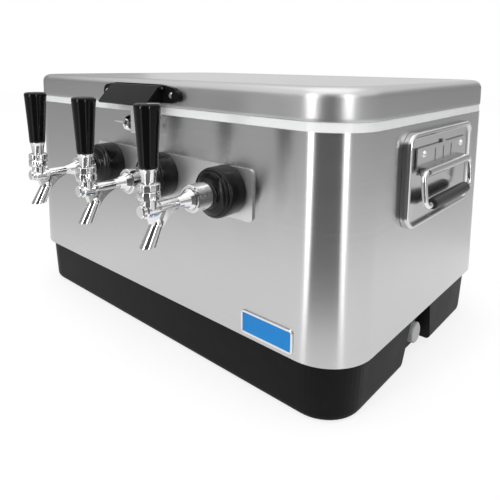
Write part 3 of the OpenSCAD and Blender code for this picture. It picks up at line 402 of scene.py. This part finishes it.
dome_radii = np.linspace(bonnet_r - 0.6, 8.2, 8)
bonnet_profile = np.vstack([
    [[ball_r + 0.2, house_top + 0.1], [bonnet_r - 1.2, house_top + 0.1],
     [bonnet_r - 0.2, house_top + 0.9], [bonnet_r, house_top + 2],
     [bonnet_r, dome_at(bonnet_r, dome_r) - 0.8]],
    np.stack([dome_radii, dome_at(dome_radii, dome_r)], 1),
    [[7.0, ball_h + 7.6], [ball_r + 0.2, ball_h + 1]]])
under_radii = np.linspace(4.2, bonnet_r - 0.9, 8)
collar_profile = np.vstack([
    [[0, collar_top], [bonnet_r - 1.6, collar_top], [bonnet_r - 0.5, collar_top - 0.8],
     [bonnet_r - 0.3, collar_top - 2], [bonnet_r - 0.3, dome_at(bonnet_r - 0.6, dome_r) + 1.2]],
    np.stack([under_radii, dome_at(under_radii, dome_r + dome_gap)], 1)[::-1],
    [[0, ball_h + dome_r + dome_gap]]])
tail = np.radians(np.linspace(-90, 50, 14))
lever_profile = np.vstack([
    np.stack([tail_r * np.cos(tail), tail_r * np.sin(tail)], 1), [[stem_r, 2.2], [stem_r, 6]],
    np.stack([ball_r * np.cos(tail[4:]), ball_h + ball_r * np.sin(tail[4:])], 1),
    [[neck_r, ball_h + 6], [neck_r, collar_top - 1], [0, collar_top - 1]]])
stud_profile = [[0, collar_top - 1], [stud_r, collar_top - 1], [stud_r, collar_top + 11],
                [0, collar_top + 11]]
print("profile points: bonnet", len(bonnet_profile), "and collar", len(collar_profile))

# %% [markdown]
# The three taps are alike. Linked copies would be lighter, but they would have to be moved, and a
# piece here keeps its place in its own mesh. So one loop makes the four pieces afresh at each tap.
# The lever's stem and stud are grids in the collar's object, because the three move as one.

# %% Set the pieces on the taps
def at_tap(grid, x, up=0.0):
    """Stands a turned grid at a tap's lever, so many millimetres above the tap's axis."""
    return grid + np.array([x, front_y - lever_out, tap_z + up])


for side, x in zip(SIDES, tap_xs):
    knob = at_tap(turned(knob_profile, 96), x, collar_top + ferrule_l)
    ferrule = at_tap(turned(ferrule_profile), x, collar_top)
    lever = (turned(collar_profile, 120, wave=0.02), turned(lever_profile, 32), turned(stud_profile, 32))
    bonnet = at_tap(turned(bonnet_profile, 120, wave=0.018, phase=1.0), x)
    mesh_piece(side + "_handle_grip", [(knob, False)],
               [side + "_tap_knob"], side + "_lever", "black_knob", crease=50)
    mesh_piece(side + "_handle_ferrule", [(ferrule, False)],
               [side + "_tap_ferrule"], side + "_lever", "chrome")
    mesh_piece(side + "_lever_collar", [(at_tap(part, x), False) for part in lever],
               [side + "_tap_lever"], side + "_lever", "chrome")
    mesh_piece(side + "_bonnet_ring", [(bonnet, True)],
               [side + "_tap_bonnet"], "cabinet", "chrome")

# %% [markdown]
# ## Badge
#
# The badge is a small plate near the foot of the front: a blue enamel field in a raised steel edge.
# An inset face on a thin box would give the step with square edges. The press gives it soft ones,
# and they catch a thin line of light all the way round.

# %% Badge plate
badge_l, badge_h, badge_r, badge_edge = 74.0, 28.0, 5.0, 2.6
badge_x, badge_z = 221.0, jacket_foot + 19
badge_profile = soften([[badge_h / 2 - 2, 1.15], [3.0, 1.15], [2.4, 1.6], [0.5, 1.6], [0, 1.2],
                        [0, 0.05], [badge_h / 2 - 2, 0.05]], 0.25, closed=False)
badge = pressed(badge_profile, length=badge_l, depth=badge_h, radius=badge_r,
                corner_steps=10, side_steps=2)
mesh_piece("badge_plate", [(out_from_front(badge, badge_x, badge_z), False)],
           ["badge"], "cabinet", "blue_badge", crease=25)

# %% [markdown]
# ## Writing shaders as sums
#
# A finish is a small formula: a tone, plus some grain, plus wear. Its nodes could be placed one by
# one, but the formula is then hard to see. The `Value` class wraps a socket, so that
# `0.3 + 0.1 * grain` adds the Math nodes by itself. `Network` adds every other node: settings come
# first, then the values or links of its sockets. `Finish` is the network of one material.

# %% Values and networks
class Value:
    """A number that varies over a surface."""

    def __init__(self, network, socket):
        self.network, self.socket = network, socket

    def math(self, operation, *others):
        """A Math node of this value and the others."""
        node = self.network.add("ShaderNodeMath", {"operation": operation}, [self, *others])
        return Value(self.network, node.outputs[0])

    def __add__(self, other):
        return self.math("ADD", other)

    def __mul__(self, other):
        return self.math("MULTIPLY", other)

    def __sub__(self, other):
        return self.math("SUBTRACT", other)

    def __rsub__(self, other):
        return (self * -1) + other

    __radd__, __rmul__ = __add__, __mul__

    def clamp(self, low=0.0, high=1.0):
        """Kept between low and high."""
        return self.math("MAXIMUM", low).math("MINIMUM", high)


class Network:
    """The nodes of one material or of the world."""

    def __init__(self, tree):
        self.tree = tree

    def add(self, kind, settings=None, sockets=None):
        """A node of a kind. Settings go by name, and sockets by name or, in a list, by number."""
        node = self.tree.nodes.new(kind)
        for key, value in (settings or {}).items():
            setattr(node, key, value)
        pairs = enumerate(sockets) if isinstance(sockets, list) else (sockets or {}).items()
        for key, value in pairs:
            self.feed(node.inputs[key], value)
        return node

    def feed(self, socket, value):
        """Links a value or a socket, and writes a plain number or colour."""
        source = value.socket if isinstance(value, Value) else value
        if isinstance(source, bpy.types.NodeSocket):
            self.tree.links.new(source, socket)
        else:
            socket.default_value = source

    def seen(self, low):
        """1 for camera, glossy and transmission rays, and low for the rest."""
        path = self.add("ShaderNodeLightPath")
        camera_ray, glossy, through = (Value(self, path.outputs["Is %s Ray" % ray])
                                       for ray in ("Camera", "Glossy", "Transmission"))
        return low + (1 - low) * camera_ray.math("MAXIMUM", glossy).math("MAXIMUM", through)


print("socket maths ready:", [name for name in vars(Value) if name.startswith("__r")])

# %% One material
class Finish(Network):
    """One material, built round a Principled shader."""

    def __init__(self, name):
        self.material = bpy.data.materials.new(name)
        self.material.use_nodes = True
        super().__init__(self.material.node_tree)
        self.shader = self.tree.nodes["Principled BSDF"]
        self.place = self.add("ShaderNodeTexCoord").outputs["Object"]

    def axis(self, name):
        """One coordinate of the place on the object, in metres."""
        split = self.add("ShaderNodeSeparateXYZ", None, [self.place])
        return Value(self, split.outputs[name])

    def noise(self, size, stretch=(1, 1, 1), detail=2.0, roughness=0.5):
        """Noise with blobs about size metres wide, drawn out along an axis where stretch is large."""
        scale = [1 / (size * s) for s in stretch]
        mapping = self.add("ShaderNodeMapping", None, {"Vector": self.place, "Scale": scale})
        texture = self.add("ShaderNodeTexNoise", None, {
            "Vector": mapping.outputs[0], "Scale": 1.0, "Detail": detail, "Roughness": roughness})
        return Value(self, texture.outputs["Fac"])

    def mix(self, factor, first, second):
        """The colour from first to second as factor goes from 0 to 1."""
        node = self.add("ShaderNodeMix", {"data_type": "RGBA"})
        for key, value in (("Factor_Float", factor), ("A_Color", first), ("B_Color", second)):
            socket = next(s for s in node.inputs if s.identifier == key)
            self.feed(socket, (*value, 1.0) if isinstance(value, tuple) else value)
        return next(s for s in node.outputs if s.identifier == "Result_Color")

    def bump(self, height, distance):
        """Relief: height from 0 to 1 is distance metres."""
        node = self.add("ShaderNodeBump", None, {"Height": height, "Distance": distance})
        self.feed(self.shader.inputs["Normal"], node.outputs[0])

    def set(self, **sockets):
        """Fills the shader's sockets, named with _ for each space."""
        for name, value in sockets.items():
            self.feed(self.shader.inputs[name.replace("_", " ")], value)


print("a finish can:", [name for name in vars(Finish) if name[0] != "_"])

# %% [markdown]
# ## Brushed stainless steel
#
# The jacket and lid are cold-rolled sheet with fine lines along their length. An image of scratches
# would repeat and blur. Noise drawn out 500 times along X and Y, and left fine in Z, gives long thin
# streaks at any size. They drive the tone, the roughness and a very small bump. The lines also
# smear a reflection across themselves, which is what the shader's Anisotropic value does: it
# stretches reflections up and down and keeps them sharp sideways. The lid has no smear, because on
# its flat top that draws a fan of light. Its border and walls are painted a tenth darker than its
# panel: painted shade standing in for the duller reflection of the real border.

# %% Brushed finishes
WHOLE_SHEET = (500, 500, 1)
finishes = {}


def grey(level):
    """A colour with all three parts the same."""
    return (level, level, level)


def brushed(name, tone, roughness=0.3, along=WHOLE_SHEET, line=0.0007, depth=0.0000006,
            contrast=0.03, smear=0.0, edge=1.0, border=0.0):
    """Tone and roughness vary with 0.65 lines + 0.15 bands + 0.2 mottle. Line: a line's width in
    metres. Border: how far in from the plan's outline a rim of painted shade reaches."""
    f = Finish(name)
    lines = f.noise(line, along, detail=3)
    bands = f.noise(0.006, (90, 90, 1), detail=2)
    mottle = f.noise(0.10, detail=3)
    streaks = 0.65 * lines + 0.15 * bands + 0.2 * mottle
    dark, light = grey(tone * (1 - contrast)), grey(tone * (1 + contrast))
    steel = f.mix((2.6 * (streaks - 0.5) + 0.5).clamp(), dark, light)
    # Painted shade: within border metres of the plan's outline, walls included, the steel is a tenth
    # darker.
    if border:
        past_x = f.axis("X").math("ABSOLUTE") - body_l / 2 * MM
        past_y = f.axis("Y").math("ABSOLUTE") - body_d / 2 * MM
        painted_border_shade = ((past_x.math("MAXIMUM", past_y) + border) * 500 + 0.5).clamp()
        steel = f.mix(painted_border_shade, steel, grey(0.9 * tone))
    f.set(Base_Color=steel, Metallic=1.0,
          Roughness=(roughness + 0.06 * (lines - 0.5) + 0.05 * (mottle - 0.5)).clamp(0.05),
          Anisotropic=smear, Anisotropic_Rotation=0.25, Specular_Tint=(*grey(edge), 1))
    f.bump(lines, depth)
    finishes[name] = f.material


brushed("brushed_stainless", 0.58, 0.25, smear=0.95)
brushed("lid_steel", 0.645, 0.36, edge=0.75, border=0.024)
brushed("satin_plate", 0.72, 0.40, contrast=0.02)
brushed("hinge_steel", 0.62)
brushed("bracket_steel", 0.66, 0.24, along=(1, 120, 1))
print("brushed:", list(finishes))

# %% [markdown]
# ## Polished metal
#
# Chrome is nearly a mirror, and a perfect mirror looks drawn. What makes it real is a slight
# unevenness: a long, low ripple left by the polishing wheel, and hairline marks that change only
# the roughness. The brass nuts and the cast cold plate are the same formula with other numbers.

# %% Polished finishes
def polished(name, tone, roughness, ripple=0.00003, tint=grey(1.0)):
    """Metal whose roughness rises by 0.12 of its marks, over waves of ripple metres."""
    f = Finish(name)
    marks = f.noise(0.0015, (1, 6, 1), detail=4, roughness=0.7)
    waves = f.noise(0.018, detail=1)
    low, high = (tuple(share * tone * t for t in tint) for share in (0.94, 1.0))
    f.set(Base_Color=f.mix(marks, low, high), Metallic=1.0,
          Roughness=(roughness + 0.12 * (marks - 0.45)).clamp(0.02))
    f.bump(waves, ripple)
    finishes[name] = f.material


polished("chrome", 0.80, 0.10)
polished("polished_steel", 0.88, 0.32)
polished("mirror_pan", 0.66, 0.14, ripple=0.00004)
polished("brass", 0.80, 0.22, tint=(1.0, 0.72, 0.32))
polished("cast_aluminium", 0.66, 0.42, ripple=0.0002)
print("with polished:", len(finishes))

# %% [markdown]
# ## Plastics
#
# Three kinds show. The base, latch and flanges have a fine moulded grain, the tap handles are gloss
# black, and the liner is smooth white. One flat colour would look like paint. So small noise in the
# bump makes the grain, and scuffs lift the tone where a broader noise is high. Black looks black
# only if it mirrors little, so its specular level is low.

# %% Plastic finishes
def moulded(name, colour, roughness, grain=0.0008, depth=0.00006, scuff=0.25, specular=0.5):
    """Plastic with grain in its relief. A scuff adds 0.06 of itself to the colour where worn."""
    f = Finish(name)
    fine = f.noise(grain, detail=2)
    worn = f.noise(0.03, detail=5, roughness=0.65)
    rubbed = tuple(c + scuff * 0.06 for c in colour)
    f.set(Base_Color=f.mix((2.5 * (worn - 0.45)).clamp(), colour, rubbed),
          Roughness=(roughness + 0.18 * (worn - 0.5)).clamp(0.03), Specular_IOR_Level=specular)
    f.bump(fine, depth)
    finishes[name] = f.material


moulded("black_base", grey(0.006), 0.45, scuff=0.10, specular=0.08)
moulded("black_latch", (0.004, 0.004, 0.005), 0.34, scuff=0.08, specular=0.12)
moulded("black_flange", (0.004, 0.004, 0.005), 0.20, depth=0.00001, scuff=0.05, specular=0.28)
moulded("black_grip", grey(0.022), 0.42, grain=0.0016, depth=0.0002)
moulded("black_knob", grey(0.003), 0.10, depth=0.0, scuff=0.02, specular=0.2)
moulded("white_liner", (0.86, 0.87, 0.87), 0.3, depth=0.00002, scuff=-0.6)
moulded("grey_drain", (0.44, 0.45, 0.46), 0.4)
moulded("drain_rubber", grey(0.02), 0.6)
moulded("clear_line", (0.74, 0.79, 0.79), 0.25, depth=0.0)
moulded("foam", (0.80, 0.70, 0.42), 0.85, grain=0.002, depth=0.0004)
print("with plastics:", len(finishes))

# %% [markdown]
# ## Enamel
#
# The badge's field is enamel and its edge is bright steel. Two materials on two pieces would do it.
# A mask on Object coordinates needs only one: the distance from the badge's middle along X and Z
# tells the field from the edge, and drives both the colour and Metallic.

# %% Badge finish
def enamel(name, blue):
    """Blue inside, and steel where the distance from the middle passes half the size less the edge."""
    f = Finish(name)
    across = (f.axis("X") - badge_x * MM).math("ABSOLUTE") - (badge_l / 2 - badge_edge) * MM
    upward = (f.axis("Z") - badge_z * MM).math("ABSOLUTE") - (badge_h / 2 - badge_edge) * MM
    edge = (across.math("MAXIMUM", upward) * 4000 + 0.5).clamp()
    cloud = f.noise(0.012, detail=3)
    deep = tuple(0.9 * c for c in blue)
    f.set(Base_Color=f.mix(edge, f.mix(cloud, deep, blue), grey(0.78)), Metallic=0.9 * edge,
          Roughness=0.22 + 0.08 * (cloud - 0.5), Specular_IOR_Level=0.3)
    f.bump(cloud, 0.00002)
    finishes[name] = f.material


enamel("blue_badge", (0.004, 0.245, 0.68))
print("all finishes:", len(finishes))

# %% [markdown]
# ## Dressing the pieces
#
# The record names a material slot for every node, and each finish has its slot's name. Setting them
# by hand would take an hour and miss some. The loop below reaches all, and only the lid's finer
# sheet gets a finish of its own.

# %% Give every piece its finish
slot_of = {part["node"]: part["material_slot"] for part in frame["record"]["subparts"]}
dressed = pieces + [(piece, slot_of[name]) for name, piece in nodes.items()]
for piece, slot in dressed:
    piece.data.materials.clear()
    piece.data.materials.append(finishes["lid_steel" if piece == lid_sheet else slot])
print("pieces dressed:", len(dressed))

# %% [markdown]
# ## Floor and backdrop
#
# Chrome and brushed steel show what stands round them, so the studio is part of their look. A white
# room would need strong lamps, and they would burn out the lid. Here the floor and the world are
# white by themselves for the rays that see them, and the floor still takes the chest's soft shadow.

# %% Floor
FLOOR_R, FLOOR_DROP, FLOOR_STEPS = 6.0, 0.0002, 96


def stage_mesh(name, points, faces, material):
    """A piece of the studio, which isn't part of the cooler."""
    mesh = bpy.data.meshes.new(name)
    mesh.from_pydata(points.tolist(), [], faces)
    mesh.materials.append(material)
    piece = bpy.data.objects.new(name, mesh)
    bpy.context.scene.collection.objects.link(piece)
    return piece


around = np.linspace(0, 2 * np.pi, FLOOR_STEPS, endpoint=False)
floor_points = np.stack([FLOOR_R * np.cos(around), FLOOR_R * np.sin(around),
                         np.full(FLOOR_STEPS, -FLOOR_DROP)], 1)
floor_finish = Finish("floor")
floor_finish.set(Base_Color=(*grey(0.28), 1), Roughness=0.9, Specular_IOR_Level=0.0,
                 Emission_Color=(*grey(0.75), 1), Emission_Strength=floor_finish.seen(0.0))
stage_mesh("floor", floor_points, [list(range(FLOOR_STEPS))], floor_finish.material)
print("floor", 2 * FLOOR_R, "m across")

# %% [markdown]
# ## Cards
#
# A photographer of steel stands cards round the set, and only the reflections see them. These bend
# up from the floor, round the near corner's axis. The two wide ones are as bright as the floor at
# their foot and grey above, so a steel face is darker at its top. A dark one faces the corner, and
# its glow has faint painted streaks, which give the corner's dark band its streaks. A narrow bright
# one on each side of it carries the two highlights down to the corner's foot.

# %% Cards
corner_axis = ((body_l / 2 - corner_r) * MM, -(body_d / 2 - corner_r) * MM)
CARD_ROWS, CARD_COLUMNS, CARD_LIFT = 17, 25, 0.002


def card_finish(name, foot, reach, near_level, far_level, streaks):
    """Glows from near_level at its foot to far_level at its reach, times 1 + streaks * (sin 61 a
    + sin 143 a) / 2, where a is the compass angle."""
    f = Finish(name)
    x, y = f.axis("X") - corner_axis[0], f.axis("Y") - corner_axis[1]
    share = (((x * x + y * y).math("SQRT") - foot) * (1 / (reach - foot))).clamp()
    a = y.math("ARCTAN2", x)
    # Faint streaks painted into the card's glow, from sines of the compass angle.
    streak_glow = 1 + streaks * 0.5 * ((a * 61).math("SINE") + (a * 143).math("SINE"))
    f.set(Base_Color=(0, 0, 0, 1), Roughness=1.0, Specular_IOR_Level=0.0, Emission_Strength=1.0,
          Emission_Color=streak_glow * (share * (far_level - near_level) + near_level))
    return f.material


def card(name, start, stop, foot, reach, height, near_level, far_level, streaks=0.0):
    """A sheet between two compass angles. Along its path t from 0 to 1 it lies on the floor and then
    stands up: radius = foot + (reach - foot) * sin(90 t), z = height * t^3."""
    a = np.radians(np.linspace(start, stop, CARD_COLUMNS))[None, :]
    t = np.linspace(0, 1, CARD_ROWS)[:, None]
    r = foot + (reach - foot) * np.sin(np.pi / 2 * t)
    z = np.broadcast_to(CARD_LIFT + height * t ** 3, (CARD_ROWS, CARD_COLUMNS))
    points = np.stack([corner_axis[0] + r * np.sin(a), corner_axis[1] - r * np.cos(a), z], -1)
    piece = stage_mesh(name, points.reshape(-1, 3), quads(CARD_ROWS, CARD_COLUMNS, False, False).tolist(),
                       card_finish(name, foot, reach, near_level, far_level, streaks))
    piece.visible_camera = piece.visible_diffuse = piece.visible_shadow = False
    print(name, "from", start, "to", stop, "degrees")


card("left_card", -120, -15, 0.6, 1.7, 1.0, 1.0, 0.33)
card("left_glint", -12, -5, 0.25, 1.1, 0.10, 1.7, 1.7)
card("corner_flag", -2, 56, 0.25, 1.2, 1.2, 0.22, 0.08, streaks=0.35)
card("right_glint", 60.5, 66, 0.25, 1.1, 0.10, 1.7, 1.7)
card("right_card", 70, 175, 0.6, 1.7, 1.0, 0.85, 0.36)

# %% [markdown]
# ## World and lamps
#
# The world gives most of the light, evenly from all sides, so each colour comes out about as it is
# written. More lamps would only bring more shadows. The top panel adds a soft shadow on the floor,
# and two tall strips stand where the corner's highlights are seen.

# %% World
WORLD_LIGHT = 0.85
world = bpy.data.worlds.new("studio")
world.use_nodes = True
bpy.context.scene.world = world
sky = Network(world.node_tree)
background = world.node_tree.nodes["Background"]
sky.feed(background.inputs["Color"], (1, 1, 1, 1))
sky.feed(background.inputs["Strength"], sky.seen(WORLD_LIGHT))
print("world lights at", WORLD_LIGHT)

# %% Lamps
STRIP_AWAY, STRIP_HEIGHT, STRIP_MIDDLE = 1.6, 1.3, 0.75


def soft_panel(name, place, size, watts, target=(0, 0, 0.15)):
    """A rectangular lamp at a place, turned to its target."""
    data = bpy.data.lights.new(name, "AREA")
    data.shape, data.size, data.size_y, data.energy = "RECTANGLE", size[0], size[1], watts
    lamp = bpy.data.objects.new(name, data)
    lamp.location = place
    lamp.rotation_euler = (Vector(target) - Vector(place)).to_track_quat("-Z", "Y").to_euler()
    bpy.context.scene.collection.objects.link(lamp)
    print(name, watts, "W")


def strip(name, compass, width, watts):
    """A tall lamp at a compass angle from the near corner's axis."""
    a = math.radians(compass)
    place = (corner_axis[0] + STRIP_AWAY * math.sin(a), corner_axis[1] - STRIP_AWAY * math.cos(a),
             STRIP_MIDDLE)
    soft_panel(name, place, (width, STRIP_HEIGHT), watts, (*corner_axis, 0.3))


soft_panel("top_panel", (0.2, -0.3, 2.4), (2.6, 2.6), 14)
strip("left_strip", -8.5, 0.20, 8)
strip("right_strip", 63.5, 0.12, 6)
